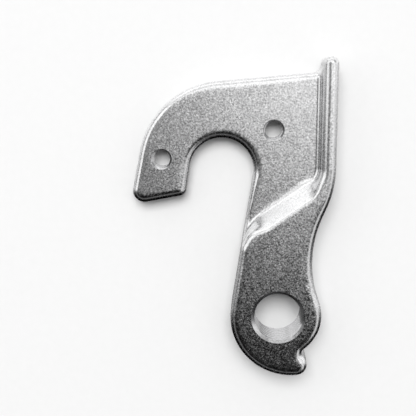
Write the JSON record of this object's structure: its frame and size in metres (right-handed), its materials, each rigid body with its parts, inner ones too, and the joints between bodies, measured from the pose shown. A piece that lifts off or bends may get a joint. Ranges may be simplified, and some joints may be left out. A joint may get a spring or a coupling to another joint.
{
  "type": "bicycle derailleur hanger",
  "caption": "Forged aluminium rear derailleur hanger: hooked plate with an axle slot and tapped screw holes, raised arm with a threaded eye and stop tab, and a locating rib along its rear edge.",
  "frame": {"origin": "on the axis of the derailleur thread, in the flat back face", "axes": "+Z out of the back towards the frame recess, so the part lies on its back; +Y from the derailleur thread towards the wheel axle; +X towards the rear of the bicycle"},
  "size_m": [0.0383, 0.0607, 0.0075],
  "materials": {
    "forged_aluminium": "bead blasted faces with burnished edges"
  },
  "bodies": {
    "root": {"hanger": "forged_aluminium"}
  },
  "joints": []
}
